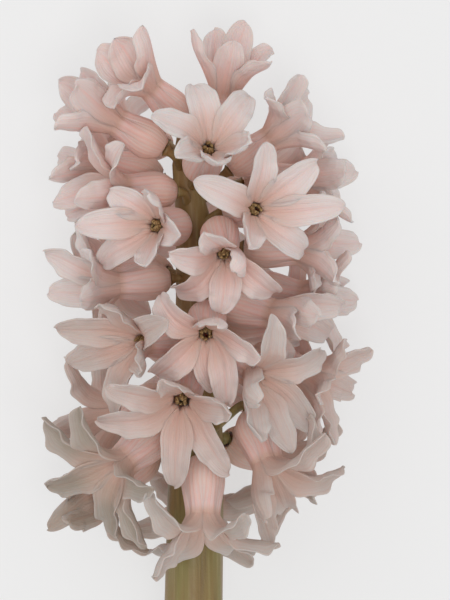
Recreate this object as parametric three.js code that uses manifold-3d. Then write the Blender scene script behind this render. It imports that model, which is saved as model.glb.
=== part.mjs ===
// A cut hyacinth spike lying on its back: one scape with its pedicels, which carries thirty-three florets.
// Millimetres, +Z up. The spike points along +Y, and the surface that it lies on is z = 0.
import * as THREE from "three";
import { mergeVertices } from "three/addons/utils/BufferGeometryUtils.js";
import Module from "manifold-3d";

const wasm = await Module();
wasm.setup();

// The photograph's scale and viewpoint. Places read from it are pixels, right and down, with a height
// in millimetres above the scape's axis.
const MM_PER_PIXEL = 0.2;
const PHOTO_CENTRE = [225, 300];
const SCAPE_COLUMN = 200;
const VIEW_DISTANCE = 900;
const RESTING_DEPTH = 24; // the surface lies this far under the scape's axis

const TUBE_LENGTH = 12;
const TUBE_BULGE = 3.6; // radius of the swollen lower third
const TUBE_WAIST = 2.85;
const TUBE_MOUTH = 2.9;
const TUBE_FOOT = 1.55; // radius at the foot, round the receptacle's neck
const FLESH = 0.8; // thickness at the middle of each tepal
const LOBES = 6;
const LOBE_LENGTH = 12.8;
const LOBE_WIDTH = 5.9;
const LOBE_CHANNEL = 0.9; // how far a lobe's margins stand in front of its midrib
const MOUTH_LEAN = 26; // degrees that the lobes lean out from the floret's axis at the mouth
const PRESSED_FLESH = 0.7; // thickness of a tepal where it lies flat on the surface

const SCAPE = [
  { at: [-1.2, -120, 0], radius: 6.1 },
  { at: [-1.2, -60, 0], radius: 5.8 },
  { at: [-0.8, -36, 0], radius: 5.5 },
  { at: [-0.6, 0, 0], radius: 4.3 },
  { at: [-1.4, 16, 0], radius: 3.5 },
  { at: [-3.2, 27, 0], radius: 2.4 },
  { at: [-3.4, 33, 0], radius: 1.2 },
];
const SCAPE_SIDES = 12;
const PEDICEL_RADIUS = 0.85;
const PEDICEL_SIDES = 5;
const RECEPTACLE_RADIUS = 1.5;
const NECK_RADIUS = 0.75;
const OVARY_RADIUS = 1.4;
const SEAT_GAP = 0.3;

// The florets that the photograph shows, nearest first. mouth is the middle of the tube's mouth, faces is
// the way that the floret looks, and spread is the angle of its lobes' ends to its axis. tips are the ends
// of its lobes, clockwise round the mouth, some with a spread of their own. Nothing shows a null one.
const SHOWN = [
  { mouth: [257, 210, 16.5], faces: [0.42, -0.03, 0.91], spread: 116,
    tips: [[263, 143], [313, 162], [345, 205], [300, 250], [241, 253], [193, 182]] },
  { mouth: [210, 146, 18], faces: [0.2, 0.42, 0.88], spread: 90,
    tips: [[192, 89], [247, 101], [252, 142], [216, 168, 50], [182, 152, 50], [153, 117]] },
  { mouth: [225, 257, 22], faces: [0.08, -0.55, 0.83], spread: 118,
    tips: [[221, 227, 90], [259, 266, 60], [275, 290], [216, 316], [180, 284], [174, 257]] },
  { mouth: [153, 225, 17.5], faces: [-0.45, 0, 0.89], spread: 112,
    tips: [[153, 190, 50], [183, 236, 60], [148, 270], [108, 261], [80, 226], [104, 197]] },
  { mouth: [206, 336, 22], faces: [-0.05, -0.4, 0.91], spread: 118,
    tips: [[163, 297], [220, 318, 60], [263, 357], [236, 392], [204, 393], [163, 364]] },
  { mouth: [181, 404, 20], faces: [-0.05, -0.45, 0.89], spread: 128, size: 1.1,
    tips: [[163, 378, 90], [242, 402], [226, 462], [175, 481], [103, 416], [108, 381]] },
  { mouth: [203, 522, 16], faces: [0, -0.97, 0.25], spread: 150, size: 1.1, turn: 30,
    tips: [[244, 511, 190], [275, 536, 110], [252, 538, 120], null, [149, 573, 80], [159, 494, 200]] },
  { mouth: [270, 470, 15], faces: [0.3, -0.82, 0.45], spread: 160, size: 1.1,
    tips: [[303, 422], [336, 462], [284, 502, 70], [255, 538, 110], [252, 514], [318, 430]] },
  { mouth: [259, 378, 18], faces: [0.45, -0.35, 0.8], spread: 118, size: 1.05,
    tips: [null, [313, 352], [305, 423], [290, 432], [257, 437], [222, 388]] },
  { mouth: [138, 342, 15], faces: [-0.7, -0.1, 0.7], spread: 118, size: 1.05,
    tips: [[172, 320, 60], [147, 380], null, [79, 362], [64, 324], [104, 298]] },
  { mouth: [118, 466, 14], faces: [-0.65, -0.55, 0.5], spread: 150, size: 1.1,
    tips: [[83, 406], [163, 480], [150, 543], [114, 517], [50, 484], [50, 416]] },
  { mouth: [278, 316, 11], faces: [0.9, -0.25, 0.3], spread: 90, size: 1.05,
    tips: [[335, 300], [331, 334], [302, 344, 120], null, null, [307, 311, 120]] },
  { mouth: [226, 86, 5], faces: [0.12, 0.93, 0.3], spread: 50,
    tips: [[246, 22], [271, 48], [270, 68], [232, 58], [187, 33], [213, 35]] },
  { mouth: [146, 84, 10.5], faces: [-0.66, 0.67, 0.37], spread: 64, size: 0.92,
    tips: [[136, 42], [146, 26], [145, 92], [116, 110], [91, 63], [117, 38]] },
  { mouth: [112, 118, 8], faces: [-0.87, 0.47, 0.1], spread: 62,
    tips: [[84, 72], null, null, [55, 127], [57, 116], [62, 86]] },
  { mouth: [276, 136, 6], faces: [0.74, 0.6, 0.2], spread: 66, size: 0.94,
    tips: [[297, 74], [312, 93], [343, 143], [322, 154], null, [263, 101]] },
  { mouth: [118, 190, 10], faces: [-0.93, 0.05, 0.35], spread: 98,
    tips: [[127, 164], [105, 196], [79, 229], [70, 216], [63, 206], null] },
  { mouth: [112, 160, -1], faces: [-0.95, 0.22, -0.05], spread: 88,
    tips: [[109, 134], null, null, [56, 181], [62, 158], [90, 136]] },
  { mouth: [302, 177, -1], faces: [0.97, 0.08, 0.05], spread: 72,
    tips: [[334, 158], [352, 172], [347, 196], null, null, null] },
  { mouth: [304, 250, 3], faces: [0.97, -0.05, 0.2], spread: 76,
    tips: [null, [357, 243], [350, 258], null, null, null] },
  { mouth: [306, 298, -4], faces: [0.97, -0.1, 0.1], spread: 76,
    tips: [[338, 280], [353, 299], null, null, null, [330, 240]] },
  { mouth: [310, 376, 5], faces: [0.88, -0.35, 0.2], spread: 104, size: 1.05,
    tips: [[337, 338], [363, 346], [346, 391], [327, 437], null, null] },
  { mouth: [112, 284, 7], faces: [-0.93, -0.08, 0.3], spread: 90,
    tips: [null, null, [137, 333], [54, 293], [50, 245], null] },
  { mouth: [104, 490, -1], faces: [-0.75, -0.6, -0.1], spread: 146, size: 1.1,
    tips: [null, [84, 468], [66, 474], [57, 518], [100, 512], null] },
];

// The florets on the side that lies down go down the scape in even steps, each in turn in one of three
// rows: straight under the scape and to either side. The lower they stand the larger they are, the
// farther out, and the more they look down the spike. The lowest two and the top one carry the weight.
const HIDDEN_COUNT = 9;
const HIDDEN_TOP = 34;
const HIDDEN_STEP = 9.5;
const UNDER = 180;
const HIDDEN_ROWS = [232, 128, UNDER]; // degrees round the scape from the viewer's side
const HIDDEN_REACH = [18, 20.5]; // from the scape's axis to a mouth, for the first and the last
const HIDDEN_SIZE = [0.95, 1.12];
const HIDDEN_RISE = [0.3, -0.45]; // how far they look up the spike
const HIDDEN_SPREAD = 116;
const SIDE_ROLL = 34; // how much more the lobes of the lowest floret at a side roll back

// A lobe moves from where it would be by the least of these bends that clears what stands there already.
const ROOM = 1.25; // between the middle surfaces of two petals
const REACH = 3; // distances past this aren't looked for
const BACK_BENDS = [0, 8, -8, 16, -16, 25, -25, 35, -35, 46, -46];
const SIDE_BENDS = [0, 8, -8, 16, -16, 24, -24];
const SHORTENINGS = [1, 0.85, 0.7, 0.56];
const CLEARING_ROUNDS = 4;

const { lerp, clamp, degToRad } = THREE.MathUtils;
const vector = (xyz) => new THREE.Vector3(...xyz);

// The same number from 0 to 1 for the same key, in place of a random draw.
function draw(key) {
  const wave = Math.sin(key * 12.9898 + 4.1414) * 43758.5453;
  return wave - Math.floor(wave);
}

// The place, from the scape's axis, of a pixel of the photograph at a height; and the pixel of a place.
function placeOf([u, v, height]) {
  const scale = MM_PER_PIXEL * (1 - height / VIEW_DISTANCE);
  const centre = (PHOTO_CENTRE[0] - SCAPE_COLUMN) * MM_PER_PIXEL;
  return new THREE.Vector3(centre + (u - PHOTO_CENTRE[0]) * scale, (PHOTO_CENTRE[1] - v) * scale, height);
}
function pixelOf(x, y, height) {
  const scale = MM_PER_PIXEL * (1 - height / VIEW_DISTANCE);
  const centre = (PHOTO_CENTRE[0] - SCAPE_COLUMN) * MM_PER_PIXEL;
  return [PHOTO_CENTRE[0] + (x - centre) / scale, PHOTO_CENTRE[1] - y / scale];
}

function tubeRadius(t) {
  const closing = Math.sqrt(Math.max(0, 1 - (1 - Math.min(1, t / 0.26)) ** 2));
  const bulge = (TUBE_BULGE - TUBE_WAIST) * Math.exp(-(((t - 0.34) / 0.24) ** 2));
  const flare = (TUBE_MOUTH - TUBE_WAIST) * t ** 4;
  return Math.max(TUBE_FOOT, (TUBE_WAIST + bulge + flare) * closing);
}

function lobeHalfWidth(s) {
  const half = LOBE_WIDTH / 2;
  const root = TUBE_MOUTH * Math.sin(Math.PI / 6);
  if (s < 0.5) return root + (half - root) * Math.sin(Math.PI * s);
  return half * Math.max(0, 1 - ((s - 0.5) / 0.5) ** 2) ** 0.6;
}

// The middle line of a lobe of length 1 from the mouth's rim, in the plane of the floret's axis: how far
// out and how far forward it has come at each step, and its angle to the axis there.
const LINE_STEPS = 24;
const LINE_EASE = 0.3; // how much more a lobe turns near the mouth than near its tip
function middleLine(spread) {
  const start = degToRad(MOUTH_LEAN);
  const end = degToRad(spread);
  const line = [{ out: 0, forward: 0, angle: start }];
  for (let i = 1; i <= LINE_STEPS; i++) {
    const s = (i - 0.5) / LINE_STEPS;
    const angle = start + (end - start) * s * (1 + LINE_EASE * (1 - s));
    const { out, forward } = line[i - 1];
    const [stepOut, stepForward] = [Math.sin(angle) / LINE_STEPS, Math.cos(angle) / LINE_STEPS];
    line.push({ out: out + stepOut, forward: forward + stepForward, angle });
  }
  return line;
}
const tipReaches = Array.from({ length: 260 }, (_, spread) => middleLine(spread).at(-1));
function tipReach(spread) {
  const low = clamp(Math.floor(spread), 0, 258);
  const [a, b] = [tipReaches[low], tipReaches[low + 1]];
  return { out: lerp(a.out, b.out, spread - low), forward: lerp(a.forward, b.forward, spread - low) };
}

// A floret's place: its mouth, and its foot a tube's length behind.
function placeFloret(plan, index) {
  const size = plan.size ?? 1;
  const mouth = placeOf(plan.mouth);
  const foot = mouth.clone().addScaledVector(vector(plan.faces).normalize(), -TUBE_LENGTH * size);
  return { index, size, plan, mouth, foot };
}

// Tubes that would touch one another or the scape are eased apart, at their feet more than at their
// mouths.
const EASING_ROUNDS = 60;
const EASING_PLACES = [0.1, 0.25, 0.4, 0.6, 0.8, 1];
const TUBE_ROOM = FLESH + 0.3;
function nudge(floret, t, push) {
  floret.foot.addScaledVector(push, 1 - 0.6 * t);
  floret.mouth.addScaledVector(push, 0.25 + 0.75 * t * t);
  const along = floret.mouth.clone().sub(floret.foot).normalize();
  floret.foot.copy(floret.mouth).addScaledVector(along, -TUBE_LENGTH * floret.size);
}
function easePair(a, b) {
  let worst = { gap: 0 };
  for (const s of EASING_PLACES)
    for (const t of EASING_PLACES) {
      const between = b.foot.clone().lerp(b.mouth, t).sub(a.foot.clone().lerp(a.mouth, s));
      const gap = between.length() - tubeRadius(s) * a.size - tubeRadius(t) * b.size - TUBE_ROOM;
      if (gap < worst.gap) worst = { gap, s, t, between };
    }
  if (worst.gap === 0) return;
  const push = worst.between.normalize().multiplyScalar(-worst.gap * 0.3);
  nudge(b, worst.t, push);
  nudge(a, worst.s, push.negate());
}
function easeFromScape(floret) {
  for (const t of EASING_PLACES) {
    const place = floret.foot.clone().lerp(floret.mouth, t);
    const { at, radius } = scapeAtHeight(place.y);
    const away = place.sub(at).setY(0);
    const gap = away.length() - radius - tubeRadius(t) * floret.size - TUBE_ROOM;
    if (gap < 0) nudge(floret, t, away.normalize().multiplyScalar(-gap * 0.5));
  }
}
function easeApart(florets) {
  for (let round = 0; round < EASING_ROUNDS; round++) {
    for (let i = 0; i < florets.length; i++)
      for (let j = i + 1; j < florets.length; j++) easePair(florets[i], florets[j]);
    florets.forEach(easeFromScape);
  }
}

// A floret's own axes, along its tube and two across it, and its lobes.
function settle(floret) {
  const along = floret.mouth.clone().sub(floret.foot).normalize();
  const across = new THREE.Vector3(0, 1, 0).addScaledVector(along, -along.y).normalize();
  const side = across.clone().cross(along);
  Object.assign(floret, { along, across, side });
  floret.lobes = settleLobes(floret, floret.plan);
}

function outward(floret, turn) {
  return floret.across.clone().multiplyScalar(Math.cos(turn)).addScaledVector(floret.side, Math.sin(turn));
}

// How far a lobe's tip falls from its place in the photograph, together with how unlike the others it is.
function misfit(floret, lobe, spread, target) {
  const reach = tipReach(lobe.spread);
  const turn = degToRad(lobe.turn + lobe.aside);
  const [ca, sa] = [Math.cos(turn), Math.sin(turn)];
  const out = TUBE_MOUTH * floret.size + reach.out * lobe.length;
  const forward = reach.forward * lobe.length;
  const { mouth, across, side, along } = floret;
  const cross = (c) => ca * across[c] + sa * side[c];
  const at = ["x", "y", "z"].map((c) => mouth[c] + out * cross(c) + forward * along[c]);
  const [u, v] = pixelOf(...at);
  const off = Math.hypot(u - target[0], v - target[1]);
  const usual = LOBE_LENGTH * floret.size;
  const unlike = lobe.spread - spread;
  return (off / 3) ** 2 + (lobe.aside / 26) ** 2 + (unlike / (unlike > 0 ? 42 : 30)) ** 2
    + ((lobe.length / usual - 1) / 0.12) ** 2;
}

// One lobe's best spread, swerve and length for its tip, by ever smaller steps from a coarse search.
const SEARCH_STEPS = { spread: 12, aside: 6, length: 1 };
function fitLobe(floret, turn, spread, target) {
  const usual = LOBE_LENGTH * floret.size;
  let best = { turn, spread, aside: 0, length: usual };
  let least = misfit(floret, best, spread, target);
  const consider = (lobe) => {
    const off = misfit(floret, lobe, spread, target);
    if (off >= least) return false;
    least = off;
    best = lobe;
    return true;
  };
  for (let wide = 20; wide <= 220; wide += 10) consider({ turn, spread: wide, aside: 0, length: usual });
  for (let scale = 1; scale > 0.05; scale /= 2) {
    let moved = true;
    while (moved) {
      moved = false;
      for (const [key, step] of Object.entries(SEARCH_STEPS))
        for (const change of [step * scale, -step * scale])
          moved = consider({ ...best, [key]: best[key] + change }) || moved;
    }
  }
  return { lobe: best, least };
}

const lobeKey = (floret, k) => floret.index * 31 + k * 7;

// The six lobes at even turns, from the first turn at which their tips fall best. A lobe that nothing
// shows takes the floret's spread with a small draw.
const FIRST_TURN_STEP = 10;
function settleLobes(floret, plan) {
  const tips = plan.tips ?? Array(LOBES).fill(null);
  let best = null;
  for (let first = 0; first < 360; first += FIRST_TURN_STEP) {
    let sum = 0;
    const lobes = tips.map((tip, k) => {
      const turn = (plan.turn ?? first) + (360 / LOBES) * k;
      if (tip) {
        const { lobe, least } = fitLobe(floret, turn, tip[2] ?? plan.spread, tip);
        sum += least;
        return lobe;
      }
      const key = lobeKey(floret, k);
      const spread = plan.spread + 24 * (draw(key + 1) - 0.5);
      const length = LOBE_LENGTH * floret.size * (0.93 + 0.14 * draw(key + 2));
      return { turn, spread, aside: 0, length };
    });
    if (best === null || sum < best.sum) best = { sum, lobes };
    if (plan.turn !== undefined) break;
  }
  const bend = { back: 0, aside: 0, share: 1 };
  const start = (k) => ({ shown: tips[k] !== null, bend, room: 0, key: lobeKey(floret, k) });
  return best.lobes.map((lobe, k) => ({ ...lobe, ...start(k) }));
}

function hiddenPlans() {
  return Array.from({ length: HIDDEN_COUNT }, (_, i) => {
    const down = i / (HIDDEN_COUNT - 1);
    const row = HIDDEN_ROWS[i % HIDDEN_ROWS.length];
    const turn = degToRad(row);
    const reach = lerp(...HIDDEN_REACH, down);
    const height = reach * Math.cos(turn);
    const mouth = [...pixelOf(reach * Math.sin(turn) - 1, HIDDEN_TOP - i * HIDDEN_STEP, height), height];
    const faces = [Math.sin(turn), lerp(...HIDDEN_RISE, down), Math.cos(turn)];
    const spread = HIDDEN_SPREAD + (row === UNDER ? 0 : SIDE_ROLL * down);
    return { mouth, faces, turn: 60 * draw(i), spread, size: lerp(...HIDDEN_SIZE, down) };
  });
}

// A point of a lobe's middle surface and its normal: s from mouth to tip, x from margin to margin.
function lobePoint(floret, lobe, line, s, x) {
  const at = Math.min(s * LINE_STEPS, LINE_STEPS - 1e-9);
  const [low, high] = [line[Math.floor(at)], line[Math.floor(at) + 1]];
  const mix = at - Math.floor(at);
  const length = lobe.length * lobe.bend.share;
  const reach = TUBE_MOUTH * floret.size + lerp(low.out, high.out, mix) * length;
  const forward = lerp(low.forward, high.forward, mix) * length;
  const angle = lerp(low.angle, high.angle, mix);
  const turn = degToRad(lobe.turn + (lobe.aside + lobe.bend.aside) * (2 * s - s * s));
  const out = outward(floret, turn);
  const cross = outward(floret, turn + Math.PI / 2);
  const normal = out.clone().multiplyScalar(Math.cos(angle)).addScaledVector(floret.along, -Math.sin(angle));
  const twist = degToRad(30 * (draw(lobe.key + 3) - 0.5)) * s;
  const offset = x * lobeHalfWidth(s) * floret.size;
  const rim = TUBE_MOUTH * (1 - Math.cos(Math.PI / 6)) * floret.size;
  const channel = lerp(rim, LOBE_CHANNEL, Math.min(1, s / 0.4)) * x * x * Math.sqrt(1 - s ** 3);
  const wave = 0.45 * s * x * Math.sin(7 * s + 6.3 * draw(lobe.key + 4));
  const point = floret.mouth
    .clone()
    .addScaledVector(out, reach)
    .addScaledVector(floret.along, forward)
    .addScaledVector(cross, offset * Math.cos(twist))
    .addScaledVector(normal, offset * Math.sin(twist) - channel + wave);
  return { point, normal };
}

function lobeLine(lobe) {
  return middleLine(lobe.spread + lobe.bend.back);
}

function tubePoint(floret, turn, t) {
  const normal = outward(floret, turn);
  const point = floret.foot.clone().lerp(floret.mouth, t);
  return { point: point.addScaledVector(normal, tubeRadius(t) * floret.size), normal };
}

// The places that are taken, in a grid of cubes, each with the piece that takes it.
const taken = new Map();
const cubeOf = (value) => Math.floor(value / REACH);
function take(point, owner) {
  const key = `${cubeOf(point.x)},${cubeOf(point.y)},${cubeOf(point.z)}`;
  if (!taken.has(key)) taken.set(key, []);
  taken.get(key).push({ point, owner });
}
function nearestTaken(point, ignored) {
  let least = REACH;
  const [cx, cy, cz] = [cubeOf(point.x), cubeOf(point.y), cubeOf(point.z)];
  for (let x = cx - 1; x <= cx + 1; x++)
    for (let y = cy - 1; y <= cy + 1; y++)
      for (let z = cz - 1; z <= cz + 1; z++)
        for (const other of taken.get(`${x},${y},${z}`) ?? []) {
          if (Math.abs(other.point.x - point.x) > least || ignored(other.owner)) continue;
          least = Math.min(least, point.distanceTo(other.point));
        }
  return least;
}

const CLOUD_ROWS = 13;
const CLOUD_COLUMNS = 7;
function lobeCloud(floret, lobe) {
  const line = lobeLine(lobe);
  const cloud = [];
  for (let i = 2; i <= CLOUD_ROWS; i++)
    for (let j = 0; j < CLOUD_COLUMNS; j++) {
      const s = i / CLOUD_ROWS;
      const x = (2 * j) / (CLOUD_COLUMNS - 1) - 1;
      cloud.push({ s, point: lobePoint(floret, lobe, line, s, x).point });
    }
  return cloud;
}

// Within one floret only the free ends of its lobes keep clear of each other, and their thin margins may
// stand a little nearer.
const FREE_END = 0.45;
const MARGIN_GRACE = 0.5;
const TABLE_PRESS = 1.2; // how far under the surface a petal may reach before it is pressed flat
function roomOf(floret, lobe, least) {
  let room = REACH;
  for (const { s, point } of lobeCloud(floret, lobe)) {
    if (room <= least) return room;
    room = Math.min(room, nearestTaken(point, (owner) => owner.floret === floret));
    room = Math.min(room, ROOM + point.z + RESTING_DEPTH + TABLE_PRESS);
    if (s < FREE_END) continue;
    const own = (owner) => owner.floret === floret && owner.lobe !== lobe && owner.s >= FREE_END;
    room = Math.min(room, nearestTaken(point, (owner) => !own(owner)) + MARGIN_GRACE);
  }
  return room;
}

function takeTube(floret) {
  for (let t = 0.1; t <= 1.001; t += 0.1)
    for (let turn = 0; turn < 360; turn += 20) take(tubePoint(floret, degToRad(turn), t).point, { floret });
}

function release(lobe) {
  for (const { point } of lobe.cloud) {
    const key = `${cubeOf(point.x)},${cubeOf(point.y)},${cubeOf(point.z)}`;
    taken.set(key, taken.get(key).filter(({ owner }) => owner.lobe !== lobe));
  }
}

// A lobe's bends, those first that move its end and its middle least as the photograph shows them.
const MOVED_PLACES = [0.55, 1];
const DEPTH_EFFORT = 0.35; // of a move toward the viewer or away, against one across the photograph
const SHORTENING_EFFORT = 7; // millimetres of move that leaving a whole lobe off would count as
function bendsByEase(floret, lobe) {
  const bends = [];
  const home = movedPlaces(floret, lobe, { back: 0, aside: 0, share: 1 });
  for (const back of BACK_BENDS)
    for (const aside of SIDE_BENDS)
      for (const share of SHORTENINGS) {
        let effort = SHORTENING_EFFORT * (1 - share);
        movedPlaces(floret, lobe, { back, aside, share }).forEach((place, i) => {
          const { x, y, z } = place.sub(home[i]);
          effort += Math.hypot(x, y) + DEPTH_EFFORT * Math.abs(z);
        });
        bends.push({ back, aside, share, effort });
      }
  return bends.sort((a, b) => a.effort - b.effort);
}
function movedPlaces(floret, lobe, bend) {
  const bent = { ...lobe, bend };
  const line = lobeLine(bent);
  return MOVED_PLACES.map((s) => lobePoint(floret, bent, line, s, 0).point);
}

// Lobes that the photograph shows keep their places before those that it doesn't.
function clearLobes(florets) {
  const all = florets.flatMap((floret) =>
    floret.lobes.map((lobe) => ({ floret, lobe, bends: bendsByEase(floret, lobe) })),
  );
  const order = [...all.filter(({ lobe }) => lobe.shown), ...all.filter(({ lobe }) => !lobe.shown)];
  for (let round = 0; round < CLEARING_ROUNDS; round++)
    for (const { floret, lobe, bends } of order) {
      if (round > 0) {
        release(lobe);
        lobe.room = roomOf(floret, lobe, -Infinity);
      }
      let chosen = lobe.bend;
      for (const bend of lobe.room >= ROOM ? [] : bends) {
        lobe.bend = bend;
        const room = roomOf(floret, lobe, lobe.room);
        if (room > lobe.room + 0.05) {
          lobe.room = room;
          chosen = bend;
        }
        if (room >= ROOM) break;
      }
      lobe.bend = chosen;
      lobe.cloud = lobeCloud(floret, lobe);
      for (const { s, point } of lobe.cloud) take(point, { floret, lobe, s });
    }
}

// A perianth as one shell: an outer and an inner skin from foot to mouth, which go on as six lobes and
// meet along the lobes' margins.
const TUBE_ROWS = [0, 0.12, 0.4, 0.72];
const LOBE_ROWS = [0, 0.2, 0.42, 0.64, 0.84];
function perianth(floret) {
  const places = [];
  const triangles = [];
  const add = (point, floor = 0) =>
    places.push(point.x, point.y, Math.max(point.z, floor - RESTING_DEPTH)) / 3 - 1;
  // The two skins at one place, outer first. Where they would go under the surface the lower one lies on it.
  const skins = ({ point, normal }) => {
    const outer = point.clone().addScaledVector(normal, FLESH / 2);
    const inner = point.clone().addScaledVector(normal, -FLESH / 2);
    const outerIsUpper = outer.z > inner.z;
    return [add(outer, outerIsUpper ? PRESSED_FLESH : 0), add(inner, outerIsUpper ? 0 : PRESSED_FLESH)];
  };
  const margin = ({ point }) => Array(2).fill(add(point));
  const ribTurn = (k) => degToRad(floret.lobes[0].turn + (360 / LOBES) * k);
  const between = (k) => {
    const tube = TUBE_ROWS.map((t) => skins(tubePoint(floret, ribTurn(k - 0.5), t)));
    return [...tube, margin(tubePoint(floret, ribTurn(k - 0.5), 1))];
  };
  const notches = Array.from({ length: LOBES }, (_, k) => between(k));
  const quad = (a, b, c, d, otherWay) => {
    const halves = otherWay ? [[a, b, d], [b, c, d]] : [[a, b, c], [a, c, d]];
    for (const [p, q, r] of halves) if (p !== q && q !== r && p !== r) triangles.push(p, q, r);
  };
  floret.lobes.forEach((lobe, k) => {
    const line = lobeLine(lobe);
    const left = notches[k];
    const right = notches[(k + 1) % LOBES];
    const rows = TUBE_ROWS.map((t, i) => [left[i], skins(tubePoint(floret, ribTurn(k), t)), right[i]]);
    for (const s of LOBE_ROWS) {
      const middle = skins(lobePoint(floret, lobe, line, s, 0));
      if (s === 0) rows.push([left.at(-1), middle, right.at(-1)]);
      else {
        const margins = [-1, 1].map((x) => margin(lobePoint(floret, lobe, line, s, x)));
        rows.push([margins[0], middle, margins[1]]);
      }
    }
    rows.push(Array(3).fill(margin(lobePoint(floret, lobe, line, 1, 0))));
    for (let j = 0; j < 2; j++) {
      quad(rows[0][j][0], rows[0][j + 1][0], rows[0][j + 1][1], rows[0][j][1], false);
      for (let i = 0; i + 1 < rows.length; i++) {
        const corners = [rows[i][j], rows[i + 1][j], rows[i + 1][j + 1], rows[i][j + 1]];
        quad(...corners.map(([outer]) => outer), j === 1);
        quad(...corners.map(([, inner]) => inner).reverse(), j === 0);
      }
    }
  });
  return geometryOf(places, triangles);
}

function geometryOf(places, triangles) {
  const geometry = new THREE.BufferGeometry();
  geometry.setAttribute("position", new THREE.Float32BufferAttribute(places, 3));
  geometry.setIndex(triangles);
  return geometry;
}

function solidOf(geometry) {
  const merged = mergeVertices(geometry, 1e-4);
  const vertProperties = merged.attributes.position.array;
  const triVerts = new Uint32Array(merged.index.array);
  return new wasm.Manifold(new wasm.Mesh({ numProp: 3, vertProperties, triVerts }));
}

function geometryOfSolid(solid) {
  const { vertProperties, triVerts } = solid.getMesh();
  return geometryOf(Array.from(vertProperties), Array.from(triVerts));
}

// A closed rod through rings of its own centre, direction and radius.
function rod(rings, sides) {
  const places = [];
  const triangles = [];
  let across = new THREE.Vector3(0, 0, 1);
  for (const { at, along, radius } of rings) {
    across = across.clone().addScaledVector(along, -across.dot(along)).normalize();
    const side = along.clone().cross(across);
    for (let k = 0; k < sides; k++) {
      const turn = (2 * Math.PI * k) / sides;
      const point = at.clone().addScaledVector(across, radius * Math.cos(turn));
      places.push(...point.addScaledVector(side, radius * Math.sin(turn)));
    }
  }
  const ends = [rings[0].at, rings.at(-1).at].map((point) => places.push(...point) / 3 - 1);
  const last = (rings.length - 1) * sides;
  for (let k = 0; k < sides; k++) {
    const next = (k + 1) % sides;
    triangles.push(ends[0], next, k);
    triangles.push(ends[1], last + k, last + next);
    for (let ring = 0; ring < last; ring += sides) {
      triangles.push(ring + k, ring + next, ring + next + sides);
      triangles.push(ring + k, ring + next + sides, ring + k + sides);
    }
  }
  return geometryOf(places, triangles);
}

function scapeAtHeight(height) {
  const found = SCAPE.findIndex(({ at }) => at[1] >= height);
  const above = found < 0 ? SCAPE.length - 1 : Math.max(1, found);
  const [low, high] = [SCAPE[above - 1], SCAPE[above]];
  const mix = clamp((height - low.at[1]) / (high.at[1] - low.at[1]), 0, 1);
  return { at: vector(low.at).lerp(vector(high.at), mix), radius: lerp(low.radius, high.radius, mix) };
}

const scapeCurve = new THREE.CatmullRomCurve3(SCAPE.map(({ at }) => vector(at)), false, "centripetal");
const SCAPE_RINGS = [0, 0.5, 1, 1.5, 2, 2.33, 2.67, 3, 3.33, 3.67, 4, 4.5, 5, 5.5, 6];
function scapeRing(place) {
  const low = Math.min(Math.floor(place), SCAPE.length - 2);
  const at = scapeCurve.getPoint(place / (SCAPE.length - 1));
  const along = scapeCurve.getTangent(place / (SCAPE.length - 1));
  return { at, along, radius: lerp(SCAPE[low].radius, SCAPE[low + 1].radius, place - low) };
}
function scapeRingAtHeight(height) {
  const above = SCAPE.findIndex(({ at }) => at[1] >= height);
  if (above < 0) return scapeRing(SCAPE.length - 1);
  const [low, high] = [SCAPE[Math.max(0, above - 1)].at[1], SCAPE[above].at[1]];
  return scapeRing(above === 0 ? 0 : above - 1 + (height - low) / (high - low));
}

// A pedicel leaves the scape below its floret and turns into the floret's axis. It widens to the
// receptacle, a neck goes on through the tube's foot, and the ovary and the style stand inside.
function pedicelRings(floret) {
  const { foot, along, size } = floret;
  const root = scapeRingAtHeight(foot.y - 1 - 0.35 * Math.hypot(foot.x, foot.z)).at;
  const straight = foot.distanceTo(root);
  const curve = new THREE.CubicBezierCurve3(
    root,
    root.clone().lerp(foot, 0.45),
    foot.clone().addScaledVector(along, -Math.min(4, 0.4 * straight)),
    foot.clone().addScaledVector(along, -1.6),
  );
  const steps = Math.max(2, Math.round(straight / 4.6));
  const rings = Array.from({ length: steps + 1 }, (_, i) => ({
    at: curve.getPoint(i / steps),
    along: curve.getTangent(i / steps),
    radius: PEDICEL_RADIUS,
  }));
  const inside = [
    [-SEAT_GAP, RECEPTACLE_RADIUS],
    [-SEAT_GAP, NECK_RADIUS],
    [0.9 * size, NECK_RADIUS],
    [2.2 * size, OVARY_RADIUS],
    [4.6 * size, 0.5],
    [7.4 * size, 0.5],
  ];
  for (const [d, radius] of inside) rings.push({ at: foot.clone().addScaledVector(along, d), along, radius });
  return rings;
}

function stem(florets) {
  let solid = solidOf(rod(SCAPE_RINGS.map(scapeRing), SCAPE_SIDES));
  for (const floret of florets) solid = solid.add(solidOf(rod(pedicelRings(floret), PEDICEL_SIDES)));
  return geometryOfSolid(solid);
}

function takeStem(florets) {
  for (let height = SCAPE[0].at[1]; height < SCAPE.at(-1).at[1]; height += 1.5) {
    const { at, radius } = scapeRingAtHeight(height);
    for (let turn = 0; turn < 2 * Math.PI; turn += 0.35)
      take(at.clone().add(new THREE.Vector3(radius * Math.sin(turn), 0, radius * Math.cos(turn))), {});
  }
  for (const floret of florets)
    for (const { at } of pedicelRings(floret).slice(0, -6)) take(at, { floret });
}

const petal = new THREE.MeshStandardMaterial({ color: 0xe3c8c0, roughness: 0.5, metalness: 0 });
const green = new THREE.MeshStandardMaterial({ color: 0x7a6a3a, roughness: 0.6, metalness: 0 });

const florets = [...SHOWN, ...hiddenPlans()].map(placeFloret);
easeApart(florets);
florets.forEach(settle);
florets.forEach(takeTube);
takeStem(florets);
clearLobes(florets);

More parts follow.
